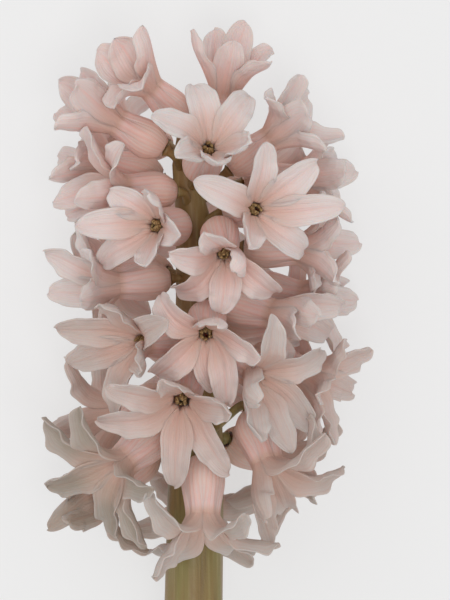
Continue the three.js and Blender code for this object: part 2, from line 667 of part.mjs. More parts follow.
const spike = new THREE.Group();
function addNode(name, geometry, material) {
  const mesh = new THREE.Mesh(geometry, material);
  mesh.name = name;
  spike.add(mesh);
}
addNode("stem", stem(florets), green);
florets.forEach((floret, i) => addNode(`floret_${String(i + 1).padStart(2, "0")}`, perianth(floret), petal));

const box = new THREE.Box3().setFromObject(spike);
spike.position.set(-(box.min.x + box.max.x) / 2, -(box.min.y + box.max.y) / 2, RESTING_DEPTH);
export default spike;
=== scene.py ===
"""A cut hyacinth spike on a pale surface, seen from above, with fine florets and a fine stem."""
import math

import bmesh
import bpy
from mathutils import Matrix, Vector, kdtree


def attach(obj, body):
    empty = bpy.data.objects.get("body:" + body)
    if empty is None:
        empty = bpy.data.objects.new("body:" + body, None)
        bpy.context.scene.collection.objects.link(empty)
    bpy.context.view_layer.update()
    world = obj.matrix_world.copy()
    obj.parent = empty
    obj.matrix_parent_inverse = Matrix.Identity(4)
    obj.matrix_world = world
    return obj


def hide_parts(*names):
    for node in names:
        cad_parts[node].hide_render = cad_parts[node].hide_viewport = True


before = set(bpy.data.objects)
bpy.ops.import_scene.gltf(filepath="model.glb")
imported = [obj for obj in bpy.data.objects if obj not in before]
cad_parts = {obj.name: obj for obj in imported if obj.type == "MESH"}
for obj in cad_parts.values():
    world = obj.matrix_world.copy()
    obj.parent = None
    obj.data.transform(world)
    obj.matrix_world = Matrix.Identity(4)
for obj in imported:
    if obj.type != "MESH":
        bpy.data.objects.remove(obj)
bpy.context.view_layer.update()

MM = 0.001

# The photograph's scale and viewpoint. Places read from it are pixels, right and down, with a height in
# millimetres above the scape's axis.
MM_PER_PIXEL = 0.2
PHOTO_CENTRE = (225, 300)
PHOTO_HEIGHT = 600
SCAPE_COLUMN = 200
VIEW_DISTANCE = 900
RESTING_DEPTH = 24  # the surface lies this far under the scape's axis
CENTRE_X = (PHOTO_CENTRE[0] - SCAPE_COLUMN) * MM_PER_PIXEL

# The measures of a floret of size 1, in millimetres and degrees, the same as in the frame. The tube's
# closing and bulge, and the places along a lobe, are shares of their lengths.
TUBE_LENGTH = 12
TUBE_BULGE = 3.6
TUBE_WAIST = 2.85
TUBE_MOUTH = 2.9
TUBE_FOOT = 1.55
TUBE_CLOSING = 0.26
BULGE_AT = 0.34
BULGE_LENGTH = 0.24
FLESH = 0.8  # a tepal's thickness at its middle
LOBES = 6
LOBE_LENGTH = 12.8
LOBE_WIDTH = 5.9
LOBE_WIDEST_AT = 0.5
LOBE_BLUNTNESS = 0.6
LOBE_CHANNEL = 0.9  # how far a lobe's margins stand in front of its midrib
CHANNEL_FROM = 0.4
LOBE_TWIST = 30
LOBE_WAVE = 0.45
WAVE_PACE = 7
MOUTH_LEAN = 26

# Points along the scape's middle, from the cut end up, each with its radius.
SCAPE = [
    ((-1.2, -120, 0), 6.1),
    ((-1.2, -60, 0), 5.8),
    ((-0.8, -36, 0), 5.5),
    ((-0.6, 0, 0), 4.3),
    ((-1.4, 16, 0), 3.5),
    ((-3.2, 27, 0), 2.4),
    ((-3.4, 33, 0), 1.2),
]
PEDICEL_RADIUS = 0.85
RECEPTACLE_RADIUS = 1.5
NECK_RADIUS = 0.75
OVARY_RADIUS = 1.4
STYLE_RADIUS = 0.5
SEAT_GAP = 0.3

# The florets that the photograph shows, nearest first: the middle of the tube's mouth, the way that the
# floret looks, the angle of its lobes' ends to its axis, and those ends clockwise round the mouth.
SHOWN = [
    {"mouth": (257, 210, 16.5), "faces": (0.42, -0.03, 0.91), "spread": 116,
     "tips": [(263, 143), (313, 162), (345, 205), (300, 250), (241, 253), (193, 182)]},
    {"mouth": (210, 146, 18), "faces": (0.2, 0.42, 0.88), "spread": 90,
     "tips": [(192, 89), (247, 101), (252, 142), (216, 168, 50), (182, 152, 50), (153, 117)]},
    {"mouth": (225, 257, 22), "faces": (0.08, -0.55, 0.83), "spread": 118,
     "tips": [(221, 227, 90), (259, 266, 60), (275, 290), (216, 316), (180, 284), (174, 257)]},
    {"mouth": (153, 225, 17.5), "faces": (-0.45, 0, 0.89), "spread": 112,
     "tips": [(153, 190, 50), (183, 236, 60), (148, 270), (108, 261), (80, 226), (104, 197)]},
    {"mouth": (206, 336, 22), "faces": (-0.05, -0.4, 0.91), "spread": 118,
     "tips": [(163, 297), (220, 318, 60), (263, 357), (236, 392), (204, 393), (163, 364)]},
    {"mouth": (181, 404, 20), "faces": (-0.05, -0.45, 0.89), "spread": 128, "size": 1.1,
     "tips": [(163, 378, 90), (242, 402), (226, 462), (175, 481), (103, 416), (108, 381)]},
    {"mouth": (203, 522, 16), "faces": (0, -0.97, 0.25), "spread": 150, "size": 1.1, "turn": 30,
     "tips": [(244, 511, 190), (275, 536, 110), (252, 538, 120), None, (149, 573, 80), (159, 494, 200)]},
    {"mouth": (270, 470, 15), "faces": (0.3, -0.82, 0.45), "spread": 160, "size": 1.1,
     "tips": [(303, 422), (336, 462), (284, 502, 70), (255, 538, 110), (252, 514), (318, 430)]},
    {"mouth": (259, 378, 18), "faces": (0.45, -0.35, 0.8), "spread": 118, "size": 1.05,
     "tips": [None, (313, 352), (305, 423), (290, 432), (257, 437), (222, 388)]},
    {"mouth": (138, 342, 15), "faces": (-0.7, -0.1, 0.7), "spread": 118, "size": 1.05,
     "tips": [(172, 320, 60), (147, 380), None, (79, 362), (64, 324), (104, 298)]},
    {"mouth": (118, 466, 14), "faces": (-0.65, -0.55, 0.5), "spread": 150, "size": 1.1,
     "tips": [(83, 406), (163, 480), (150, 543), (114, 517), (50, 484), (50, 416)]},
    {"mouth": (278, 316, 11), "faces": (0.9, -0.25, 0.3), "spread": 90, "size": 1.05,
     "tips": [(335, 300), (331, 334), (302, 344, 120), None, None, (307, 311, 120)]},
    {"mouth": (226, 86, 5), "faces": (0.12, 0.93, 0.3), "spread": 50,
     "tips": [(246, 22), (271, 48), (270, 68), (232, 58), (187, 33), (213, 35)]},
    {"mouth": (146, 84, 10.5), "faces": (-0.66, 0.67, 0.37), "spread": 64, "size": 0.92,
     "tips": [(136, 42), (146, 26), (145, 92), (116, 110), (91, 63), (117, 38)]},
    {"mouth": (112, 118, 8), "faces": (-0.87, 0.47, 0.1), "spread": 62,
     "tips": [(84, 72), None, None, (55, 127), (57, 116), (62, 86)]},
    {"mouth": (276, 136, 6), "faces": (0.74, 0.6, 0.2), "spread": 66, "size": 0.94,
     "tips": [(297, 74), (312, 93), (343, 143), (322, 154), None, (263, 101)]},
    {"mouth": (118, 190, 10), "faces": (-0.93, 0.05, 0.35), "spread": 98,
     "tips": [(127, 164), (105, 196), (79, 229), (70, 216), (63, 206), None]},
    {"mouth": (112, 160, -1), "faces": (-0.95, 0.22, -0.05), "spread": 88,
     "tips": [(109, 134), None, None, (56, 181), (62, 158), (90, 136)]},
    {"mouth": (302, 177, -1), "faces": (0.97, 0.08, 0.05), "spread": 72,
     "tips": [(334, 158), (352, 172), (347, 196), None, None, None]},
    {"mouth": (304, 250, 3), "faces": (0.97, -0.05, 0.2), "spread": 76,
     "tips": [None, (357, 243), (350, 258), None, None, None]},
    {"mouth": (306, 298, -4), "faces": (0.97, -0.1, 0.1), "spread": 76,
     "tips": [(338, 280), (353, 299), None, None, None, (330, 240)]},
    {"mouth": (310, 376, 5), "faces": (0.88, -0.35, 0.2), "spread": 104, "size": 1.05,
     "tips": [(337, 338), (363, 346), (346, 391), (327, 437), None, None]},
    {"mouth": (112, 284, 7), "faces": (-0.93, -0.08, 0.3), "spread": 90,
     "tips": [None, None, (137, 333), (54, 293), (50, 245), None]},
    {"mouth": (104, 490, -1), "faces": (-0.75, -0.6, -0.1), "spread": 146, "size": 1.1,
     "tips": [None, (84, 468), (66, 474), (57, 518), (100, 512), None]},
]

# The florets on the side that lies down, in three rows down the scape.
HIDDEN_COUNT = 9
HIDDEN_TOP = 34
HIDDEN_STEP = 9.5
UNDER = 180
HIDDEN_ROWS = (232, 128, UNDER)
HIDDEN_REACH = (18, 20.5)
HIDDEN_SIZE = (0.95, 1.12)
HIDDEN_RISE = (0.3, -0.45)
HIDDEN_SPREAD = 116
SIDE_ROLL = 34


def lerp(a, b, mix):
    return a + (b - a) * mix


def clamp(value, low, high):
    return max(low, min(high, value))


def smooth(low, high, value):
    """0 at low, 1 at high, and an even curve between. low may be the greater."""
    mix = clamp((value - low) / (high - low), 0, 1)
    return mix * mix * (3 - 2 * mix)


def draw(key):
    """The same number from 0 to 1 for the same key, in place of a random draw."""
    wave = math.sin(key * 12.9898 + 4.1414) * 43758.5453
    return wave - math.floor(wave)


def place_of(u, v, height):
    """The place, from the scape's axis, of a pixel of the photograph at a height."""
    scale = MM_PER_PIXEL * (1 - height / VIEW_DISTANCE)
    return Vector((CENTRE_X + (u - PHOTO_CENTRE[0]) * scale, (PHOTO_CENTRE[1] - v) * scale, height))


def pixel_of(x, y, height):
    """The pixel of the photograph that shows a place, the way back from place_of."""
    scale = MM_PER_PIXEL * (1 - height / VIEW_DISTANCE)
    return PHOTO_CENTRE[0] + (x - CENTRE_X) / scale, PHOTO_CENTRE[1] - y / scale


def tube_radius(t):
    """The tube's radius at a share of its length from the foot."""
    closing = math.sqrt(max(0, 1 - (1 - min(1, t / TUBE_CLOSING)) ** 2))
    bulge = (TUBE_BULGE - TUBE_WAIST) * math.exp(-(((t - BULGE_AT) / BULGE_LENGTH) ** 2))
    flare = (TUBE_MOUTH - TUBE_WAIST) * t**4
    return max(TUBE_FOOT, (TUBE_WAIST + bulge + flare) * closing)


def lobe_half_width(s):
    """Half a lobe's width at a share of its length from the mouth."""
    half = LOBE_WIDTH / 2
    root = TUBE_MOUTH * math.sin(math.pi / LOBES)
    if s < LOBE_WIDEST_AT:
        return root + (half - root) * math.sin(math.pi / 2 * s / LOBE_WIDEST_AT)
    beyond = (s - LOBE_WIDEST_AT) / (1 - LOBE_WIDEST_AT)
    return half * max(0, 1 - beyond**2) ** LOBE_BLUNTNESS


LINE_STEPS = 24
LINE_EASE = 0.3


def middle_line(spread):
    """A lobe's middle line for a length of 1: how far out and forward it has come, and its angle there."""
    start = math.radians(MOUTH_LEAN)
    end = math.radians(spread)
    out = forward = 0
    line = [(0, 0, start)]
    for i in range(LINE_STEPS):
        s = (i + 0.5) / LINE_STEPS
        angle = start + (end - start) * s * (1 + LINE_EASE * (1 - s))
        out += math.sin(angle) / LINE_STEPS
        forward += math.cos(angle) / LINE_STEPS
        line.append((out, forward, angle))
    return line


WIDEST_SPREAD = 258
TIP_REACHES = [middle_line(spread)[-1] for spread in range(WIDEST_SPREAD + 2)]


def tip_reach(spread):
    """How far out and forward a lobe's tip is at a spread, for a length of 1."""
    low = int(clamp(math.floor(spread), 0, WIDEST_SPREAD))
    a, b = TIP_REACHES[low], TIP_REACHES[low + 1]
    return lerp(a[0], b[0], spread - low), lerp(a[1], b[1], spread - low)


OLD_BELOW = (6, -42)  # florets fade and curl from the first of these heights to the second
OUTER_AGEING = 0.4  # and sooner by this much of their distance from the scape
FADED = {10: 0.5, 11: 1, 24: 1}  # these florets' colour, where the photograph shows it more faded
FADING = 0.65  # the share of its age that any other floret's colour shows
# How pink a floret is, from 0 to 1, where the photograph shows it. Any other floret's is drawn.
BLUSH = {1: 0.35, 2: 0.05, 3: 0.9, 4: 0.5, 5: 1, 6: 0.9, 7: 0.35, 8: 0.9, 13: 0.9, 14: 1, 15: 0.8, 16: 0.3,
         17: 0.8, 18: 0.6, 19: 0.2, 20: 0.4, 21: 0.3}


class Floret:
    """One flower's place: its mouth, and its foot a tube's length behind."""

    def __init__(self, plan, index):
        self.plan = plan
        self.index = index
        self.size = plan.get("size", 1)
        self.mouth = place_of(*plan["mouth"]) if index < len(SHOWN) else Vector(plan["mouth"])
        self.foot = self.mouth - Vector(plan["faces"]).normalized() * TUBE_LENGTH * self.size

    def settle(self):
        """Its own axes, along the tube and two across it, and its lobes."""
        self.along = (self.mouth - self.foot).normalized()
        self.across = (Vector((0, 1, 0)) - self.along * self.along.y).normalized()
        self.side = self.across.cross(self.along)
        self.lobes = settle_lobes(self)
        self.age = smooth(*OLD_BELOW, self.mouth.y - OUTER_AGEING * abs(self.mouth.x))
        self.fade = FADED.get(self.index + 1, FADING * self.age)
        self.blush = BLUSH.get(self.index + 1, draw(self.index + 0.5))

    def outward(self, turn):
        """The direction away from the tube's axis at a turn round it."""
        return self.across * math.cos(turn) + self.side * math.sin(turn)

    def rib_turn(self, k):
        """The turn at which tepal k's middle stands."""
        return math.radians(self.lobes[0].turn + 360 / LOBES * k)


class Lobe:
    """One free lobe: its turn round the mouth, how it bends and swerves, its length and its share of it."""

    def __init__(self, turn, spread, aside, length, key):
        self.turn, self.spread, self.aside, self.length, self.key = turn, spread, aside, length, key
        self.back = self.swerve = 0
        self.share = 1

    def line(self):
        """Its middle line, with the bend that clears it of others."""
        return middle_line(self.spread + self.back)


# Tubes that would touch one another or the scape are eased apart, as in the frame.
EASING_ROUNDS = 60
EASING_PLACES = (0.1, 0.25, 0.4, 0.6, 0.8, 1)
TUBE_ROOM = FLESH + 0.3
EASING_RADII = [tube_radius(t) for t in EASING_PLACES]
FOOT_HOLD = 0.6  # share of a push at the mouth that the foot doesn't follow
MOUTH_GIVE = 0.25  # share of a push at the foot that the mouth follows
PAIR_PUSH = 0.3
SCAPE_PUSH = 0.5
FAR_APART = 4 * TUBE_LENGTH


def nudge(floret, t, push):
    """Moves a tube that is pushed at a share of its length from the foot, and keeps its length."""
    floret.foot += push * (1 - FOOT_HOLD * t)
    floret.mouth += push * (MOUTH_GIVE + (1 - MOUTH_GIVE) * t * t)
    along = (floret.mouth - floret.foot).normalized()
    floret.foot = floret.mouth - along * TUBE_LENGTH * floret.size


def ease_pair(a, b):
    """Moves two tubes apart by a part of what they lack at their tightest place."""
    if (a.mouth - b.mouth).length > FAR_APART:
        return
    worst, found = 0, None
    for s, radius_a in zip(EASING_PLACES, EASING_RADII):
        at_a = a.foot.lerp(a.mouth, s)
        for t, radius_b in zip(EASING_PLACES, EASING_RADII):
            between = b.foot.lerp(b.mouth, t) - at_a
            gap = between.length - radius_a * a.size - radius_b * b.size - TUBE_ROOM
            if gap < worst:
                worst, found = gap, (s, t, between)
    if found is None:
        return
    s, t, between = found
    push = between.normalized() * -worst * PAIR_PUSH
    nudge(b, t, push)
    nudge(a, s, -push)


def scape_at(height):
    """The scape's middle and radius at a height."""
    above = next((i for i, (at, _) in enumerate(SCAPE) if at[1] >= height), len(SCAPE) - 1)
    above = max(1, above)
    (low, low_radius), (high, high_radius) = SCAPE[above - 1], SCAPE[above]
    mix = clamp((height - low[1]) / (high[1] - low[1]), 0, 1)
    return Vector(low).lerp(Vector(high), mix), lerp(low_radius, high_radius, mix)


def ease_from_scape(floret):
    """Moves a tube off the scape wherever the two are too near."""
    for t, tube in zip(EASING_PLACES, EASING_RADII):
        place = floret.foot.lerp(floret.mouth, t)
        at, radius = scape_at(place.y)
        away = place - at
        away.y = 0
        gap = away.length - radius - tube * floret.size - TUBE_ROOM
        if gap < 0:
            nudge(floret, t, away.normalized() * -gap * SCAPE_PUSH)


def ease_apart(florets):
    """Eases all tubes from one another and from the scape, round by round."""
    for _ in range(EASING_ROUNDS):
        for i, floret in enumerate(florets):
            for other in florets[i + 1:]:
                ease_pair(floret, other)
        for floret in florets:
            ease_from_scape(floret)


# How a lobe is fitted to its tip in the photograph: the steps of the search, and how much of each
# departure, in pixels, degrees or shares of a length, counts as one.
COARSE_SPREADS = range(20, 221, 10)
SEARCH_STEPS = (("spread", 12), ("aside", 6), ("length", 1))
FINEST_SCALE = 0.05
TIP_SLACK = 3
ASIDE_SLACK = 26
WIDER_SLACK = 42
NARROWER_SLACK = 30
STRETCH_SLACK = 0.12
FIRST_TURNS = range(0, 360, 10)
SPREAD_DRIFT = 24
LEAST_LENGTH = 0.93
LENGTH_DRIFT = 0.14


def misfit(floret, lobe, spread, target):
    """How far a lobe's tip falls from its place in the photograph, with how unlike the others it is."""
    out, forward = tip_reach(lobe["spread"])
    turn = math.radians(lobe["turn"] + lobe["aside"])
    ca, sa = math.cos(turn), math.sin(turn)
    out = TUBE_MOUTH * floret.size + out * lobe["length"]
    forward *= lobe["length"]
    mouth, across, side, along = floret.axes
    at = [mouth[c] + out * (ca * across[c] + sa * side[c]) + forward * along[c] for c in range(3)]
    u, v = pixel_of(*at)
    off = math.hypot(u - target[0], v - target[1])
    unlike = lobe["spread"] - spread
    stretch = lobe["length"] / (LOBE_LENGTH * floret.size) - 1
    likeness = (unlike / (WIDER_SLACK if unlike > 0 else NARROWER_SLACK)) ** 2
    aside = (lobe["aside"] / ASIDE_SLACK) ** 2
    return (off / TIP_SLACK) ** 2 + aside + likeness + (stretch / STRETCH_SLACK) ** 2


def fit_lobe(floret, turn, spread, target):
    """One lobe's best spread, swerve and length for its tip, by ever smaller steps from a coarse search."""
    usual = LOBE_LENGTH * floret.size
    best = {"turn": turn, "spread": spread, "aside": 0, "length": usual}
    least = misfit(floret, best, spread, target)
    for trial in [{**best, "spread": wide} for wide in COARSE_SPREADS]:
        off = misfit(floret, trial, spread, target)
        if off < least:
            best, least = trial, off
    scale = 1
    while scale > FINEST_SCALE:
        moved = True
        while moved:
            moved = False
            for key, step in SEARCH_STEPS:
                for change in (step * scale, -step * scale):
                    trial = {**best, key: best[key] + change}
                    off = misfit(floret, trial, spread, target)
                    if off < least:
                        best, least, moved = trial, off, True
        scale /= 2
    return best, least


def settle_lobes(floret):
    """The six lobes at even turns, from the first turn at which their tips fall best."""
    plan = floret.plan
    floret.axes = [tuple(axis) for axis in (floret.mouth, floret.across, floret.side, floret.along)]
    tips = plan.get("tips", [None] * LOBES)
    firsts = [plan["turn"]] if "turn" in plan else FIRST_TURNS
    found = None
    for first in firsts:
        total, lobes = 0, []
        for k, tip in enumerate(tips):
            key = floret.index * 31 + k * 7
            turn = first + 360 / LOBES * k
            if tip:
                spread = tip[2] if len(tip) > 2 else plan["spread"]
                best, least = fit_lobe(floret, turn, spread, tip)
                total += least
                lobes.append(Lobe(turn, best["spread"], best["aside"], best["length"], key))
            else:
                spread = plan["spread"] + SPREAD_DRIFT * (draw(key + 1) - 0.5)
                length = LOBE_LENGTH * floret.size * (LEAST_LENGTH + LENGTH_DRIFT * draw(key + 2))
                lobes.append(Lobe(turn, spread, 0, length, key))
        if found is None or total < found[0]:
            found = total, lobes
    return found[1]


def hidden_plans():
    """Plans like SHOWN's, with places in millimetres, for the florets that the photograph hides."""
    for i in range(HIDDEN_COUNT):
        down = i / (HIDDEN_COUNT - 1)
        row = HIDDEN_ROWS[i % len(HIDDEN_ROWS)]
        turn = math.radians(row)
        reach = lerp(*HIDDEN_REACH, down)
        mouth = (reach * math.sin(turn) - 1, HIDDEN_TOP - i * HIDDEN_STEP, reach * math.cos(turn))
        yield {
            "mouth": mouth,
            "faces": (math.sin(turn), lerp(*HIDDEN_RISE, down), math.cos(turn)),
            "turn": 360 / LOBES * draw(i),
            "spread": HIDDEN_SPREAD + (0 if row == UNDER else SIDE_ROLL * down),
            "size": lerp(*HIDDEN_SIZE, down),
        }


def lobe_point(floret, lobe, line, s, x):
    """A point of a lobe's middle surface and its normal: s from mouth to tip, x from margin to margin."""
    at = min(s * LINE_STEPS, LINE_STEPS - 1e-9)
    low, high = line[int(at)], line[int(at) + 1]
    mix = at - int(at)
    length = lobe.length * lobe.share
    reach = TUBE_MOUTH * floret.size + lerp(low[0], high[0], mix) * length
    forward = lerp(low[1], high[1], mix) * length
    angle = lerp(low[2], high[2], mix)
    turn = math.radians(lobe.turn + (lobe.aside + lobe.swerve) * (2 * s - s * s))
    out = floret.outward(turn)
    cross = floret.outward(turn + math.pi / 2)
    normal = out * math.cos(angle) - floret.along * math.sin(angle)
    twist = math.radians(LOBE_TWIST * (draw(lobe.key + 3) - 0.5)) * s
    offset = x * lobe_half_width(s) * floret.size
    rim = TUBE_MOUTH * (1 - math.cos(math.pi / LOBES)) * floret.size
    channel = lerp(rim, LOBE_CHANNEL, min(1, s / CHANNEL_FROM)) * x * x * math.sqrt(1 - s**3)
    wave = LOBE_WAVE * s * x * math.sin(WAVE_PACE * s + 6.3 * draw(lobe.key + 4))
    point = floret.mouth + out * reach + floret.along * forward + cross * (offset * math.cos(twist))
    return point + normal * (offset * math.sin(twist) - channel + wave), normal


def tube_point(floret, turn, t):
    """A point of the tube's surface, t from foot to mouth, and its normal."""
    normal = floret.outward(turn)
    return floret.foot.lerp(floret.mouth, t) + normal * tube_radius(t) * floret.size, normal


# The bends that the frame's lobes may have taken to clear each other. Each is found again from where the
# frame's own tips and margins are.
BACK_BENDS = (0, 8, -8, 16, -16, 25, -25, 35, -35, 46, -46)
SIDE_BENDS = (0, 8, -8, 16, -16, 24, -24)
SHORTENINGS = (1, 0.85, 0.7, 0.56)
TELLING_PLACES = ((1, 0), (0.84, -1), (0.84, 1), (0.64, -1), (0.64, 1), (0.42, -1), (0.42, 1))


def find_bend(floret, lobe, corners):
    """Gives a lobe the bend that puts its telling places nearest to the frame's corners."""
    least, found = math.inf, None
    for back in BACK_BENDS:
        line = middle_line(lobe.spread + back)
        for lobe.swerve in SIDE_BENDS:
            for lobe.share in SHORTENINGS:
                off = 0
                for s, x in TELLING_PLACES:
                    point = lobe_point(floret, lobe, line, s, x)[0]
                    point.z = max(point.z, -RESTING_DEPTH)
                    off += corners.find(point)[2]
                    if off >= least:
                        break
                if off < least:
                    least, found = off, (back, lobe.swerve, lobe.share)
    lobe.back, lobe.swerve, lobe.share = found


def node_points(name):
    """The corners of one of the frame's nodes, in millimetres."""
    return [vertex.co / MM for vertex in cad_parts[name].data.vertices]


def scape_foot():
    """Where the scape's axis origin is in the row frame, from the stem's cut end."""
    points = node_points("stem")
    lowest = min(point.y for point in points)
    cut = [point.x for point in points if point.y < lowest + 0.01]
    (x, y, _), _ = SCAPE[0]
    return Vector(((min(cut) + max(cut)) / 2 - x, lowest - y, RESTING_DEPTH))


ORIGIN = scape_foot()


def grown_florets():
    """Every floret, placed, with its lobes bent as the frame's are."""
    florets = [Floret(plan, i) for i, plan in enumerate([*SHOWN, *hidden_plans()])]
    ease_apart(florets)
    for floret in florets:
        floret.settle()
        floret.name = f"floret_{floret.index + 1:02d}"
        points = node_points(floret.name)
        corners = kdtree.KDTree(len(points))
        for i, point in enumerate(points):
            corners.insert(point - ORIGIN, i)
        corners.balance()
        for lobe in floret.lobes:
            find_bend(floret, lobe, corners)
    return florets


# A tepal's fine sheet: rows from foot to tip, of which the first share is the tube, and columns across.
# Depths, heights and thicknesses are in millimetres.
TUBE_ROWS = 9
LOBE_ROWS = 15
COLUMNS = 10
MOUTH_AT = TUBE_ROWS / (TUBE_ROWS + LOBE_ROWS)
MOUTH_FLESH = 1.5  # thickness at the mouth, where a tepal is thickest
MARGIN_FLESH = 0.28
TIP_THINNING = 0.75
MOUTH_NARROWING = 0.75  # how far the sheet's middle stands in from the frame's at the mouth
BASE_WIDENING = 0.3  # share of its width that a lobe gains near the mouth, to lie over its neighbour
LAP = 0.34  # how far an inner lobe's margins stand before an outer one's there, and these behind
CREASE = 0.42  # depth of the furrow along a lobe's middle
CREASE_WIDTH = 0.2
SIDE_CREASE = (0.12, 0.3)  # depth of the furrows beside it, on a fresh lobe and on an old one
SIDE_CREASE_AT = 0.55
RUFFLE = 0.3  # height of the small waves along its margins, doubled on an old lobe
RUFFLE_PACE = 17
FINE_RUFFLE_PACE = 31
RUFFLE_SHIFT = 2.1  # how far the waves on one margin are out of step with the other's
FLUTING = 0.3  # how far a tepal's rib stands out along the tube, and its seams stand in
FUNNEL = 0.09  # share of the tube's length that the throat's edge lies below the frame's mouth
THROAT_EASE = 0.36  # share of a lobe over which it leaves the throat's edge for its own line
ROW_CROWDING = 1.15  # how much closer the rows stand toward the tip
HOOK = (0.7, 1.9)  # how far a tip turns in, on a fresh floret and on an old one
HOOK_FROM = 0.62
HOOK_DRIFT = (0.2, 1.8)
ROLL = (0.35, 1.3)  # how far the margins roll in, on a fresh floret and on an old one
ROLL_UNEVENNESS = 0.6  # the largest share that one margin rolls in more, and the other less
FRESH_WIDTH = 1.06  # a fresh lobe's width against the frame's
OLD_WIDTH = 0.8  # and an old one's
FULLER = {11: 1.1, 14: 1.3, 15: 1.1, 16: 1.25}  # these florets' lobes are wider still


def fine_lobe_point(floret, k, line, s, x):
    """The frame's lobe with a furrow, rolled and ruffled margins and a tip that turns in."""
    lobe = floret.lobes[k]
    free = smooth(0.12, 0.5, s)
    base = smooth(0.0, 0.1, s) * smooth(0.5, 0.2, s)
    wide = lerp(FRESH_WIDTH, OLD_WIDTH, floret.age * free) * FULLER.get(floret.index + 1, 1)
    wide += BASE_WIDENING * base
    point, normal = lobe_point(floret, lobe, line, s, x * wide)
    lap = LAP * base * x * x * (1 if k % 2 else -1)
    arch = math.sin(math.pi * min(1, 1.2 * s))
    furrow = CREASE * math.exp(-((x / CREASE_WIDTH) ** 2)) * arch
    beside = math.exp(-(((abs(x) - SIDE_CREASE_AT) / CREASE_WIDTH) ** 2))
    furrow += lerp(*SIDE_CREASE, floret.age) * beside * arch * free
    height = RUFFLE * (1 + floret.age) * free
    shift = RUFFLE_SHIFT if x > 0 else 0
    ruffle = height * abs(x) ** 3 * math.sin(RUFFLE_PACE * s + lobe.key + shift)
    ruffle += 0.5 * height * x * math.sin(FINE_RUFFLE_PACE * s + 2 * lobe.key)
    hook = lerp(*HOOK, floret.age) * smooth(HOOK_FROM, 1, s) ** 2 * lerp(*HOOK_DRIFT, draw(lobe.key + 5))
    roll = lerp(*ROLL, floret.age) * free * abs(x) ** 2.5 * smooth(1.05, 0.8, s)
    uneven = math.copysign(2 * draw(lobe.key + 6) - 1, x * (draw(lobe.key + 8) - 0.5))
    roll *= 1 + ROLL_UNEVENNESS * uneven
    return point + normal * (furrow + ruffle - hook - roll - lap)


def tepal_point(floret, k, line, x, v):
    """A place on tepal k's middle sheet: v from foot to tip, x from margin to margin."""
    turn = floret.rib_turn(k) + x * math.pi / LOBES
    t = min(1, v / MOUTH_AT)
    place, normal = tube_point(floret, turn, t)
    place -= floret.along * (FUNNEL * TUBE_LENGTH * floret.size * smooth(0.5, 1, t))
    ridge = FLUTING * math.cos(math.pi * x) * smooth(0.1, 0.9, t)
    place += normal * (ridge - MOUTH_NARROWING * smooth(0.55, 1, t))
    if v <= MOUTH_AT:
        return place
    s = 1 - (1 - (v - MOUTH_AT) / (1 - MOUTH_AT)) ** ROW_CROWDING
    return place.lerp(fine_lobe_point(floret, k, line, s, x), smooth(0, THROAT_EASE, s))


def flesh_at(x, v):
    """The thickness in millimetres at a place of a tepal."""
    toward_mouth = smooth(0.5 * MOUTH_AT, MOUTH_AT, v)
    beyond = smooth(MOUTH_AT, MOUTH_AT + 0.2, v)
    middle = lerp(lerp(FLESH, MOUTH_FLESH, toward_mouth), FLESH, beyond)
    margin = lerp(middle, MARGIN_FLESH, beyond)
    return lerp(middle, margin, abs(x) ** 1.7) * lerp(1, TIP_THINNING, smooth(0.85, 1, v))


def new_piece(name, bm, material, node_names):
    """A piece at the origin from a bmesh, in place of the frame's nodes of these names."""
    mesh = bpy.data.meshes.new(name)
    bm.to_mesh(mesh)
    bm.free()
    piece = bpy.data.objects.new(name, mesh)
    bpy.context.scene.collection.objects.link(piece)
    mesh.materials.append(material)
    mesh.shade_smooth()
    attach(piece, "root")
    if node_names:
        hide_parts(*node_names)
    return piece


def fine_floret(floret, material):
    """Six tepals as sheets joined along their seams, with an uneven thickness."""
    bm = bmesh.new()
    bm.loops.layers.uv.new("tepal")
    fade = bm.verts.layers.float.new("fade")
    shade = bm.verts.layers.float.new("shade")
    weights = bm.verts.layers.deform.verify()
    for k, lobe in enumerate(floret.lobes):
        line = lobe.line()
        rows = TUBE_ROWS + LOBE_ROWS
        sheet = bmesh.ops.create_grid(bm, x_segments=COLUMNS, y_segments=rows, size=1, calc_uvs=True)
        for vert in sheet["verts"]:
            x, v = vert.co.x, (vert.co.y + 1) / 2
            vert.co = tepal_point(floret, k, line, x, v)
            flesh = flesh_at(x, v)
            vert[weights][0] = flesh / MOUTH_FLESH
            vert.co.z = max(vert.co.z, 0.5 * flesh - RESTING_DEPTH)
            vert.co = (vert.co + ORIGIN) * MM
            vert[fade] = floret.fade
            vert[shade] = floret.blush
    bmesh.ops.remove_doubles(bm, verts=bm.verts, dist=0.02 * MM)
    piece = new_piece(floret.name + "_petals", bm, material, [floret.name])
    piece.vertex_groups.new(name="flesh")
    thicken = piece.modifiers.new("thicken", "SOLIDIFY")
    thicken.thickness = MOUTH_FLESH * MM
    thicken.offset = 0
    thicken.vertex_group = "flesh"
    round_off = piece.modifiers.new("round", "SUBSURF")
    round_off.levels = round_off.render_levels = 1


# A finely made stem: rings of its own centre, direction and radius, wrapped with a grid.
SCAPE_SIDES = 40
PEDICEL_SIDES = 12
RING_STEP = 2
RIDGE = 0.02  # share of the scape's radius that its low ridges stand out
CUT_EDGE = 0.35  # the cut end's edge is worn off over this height, to a share of the radius
CUT_SHARE = 0.95
TOP_HEIGHT = 0.8
TOP_SHARE = 0.6


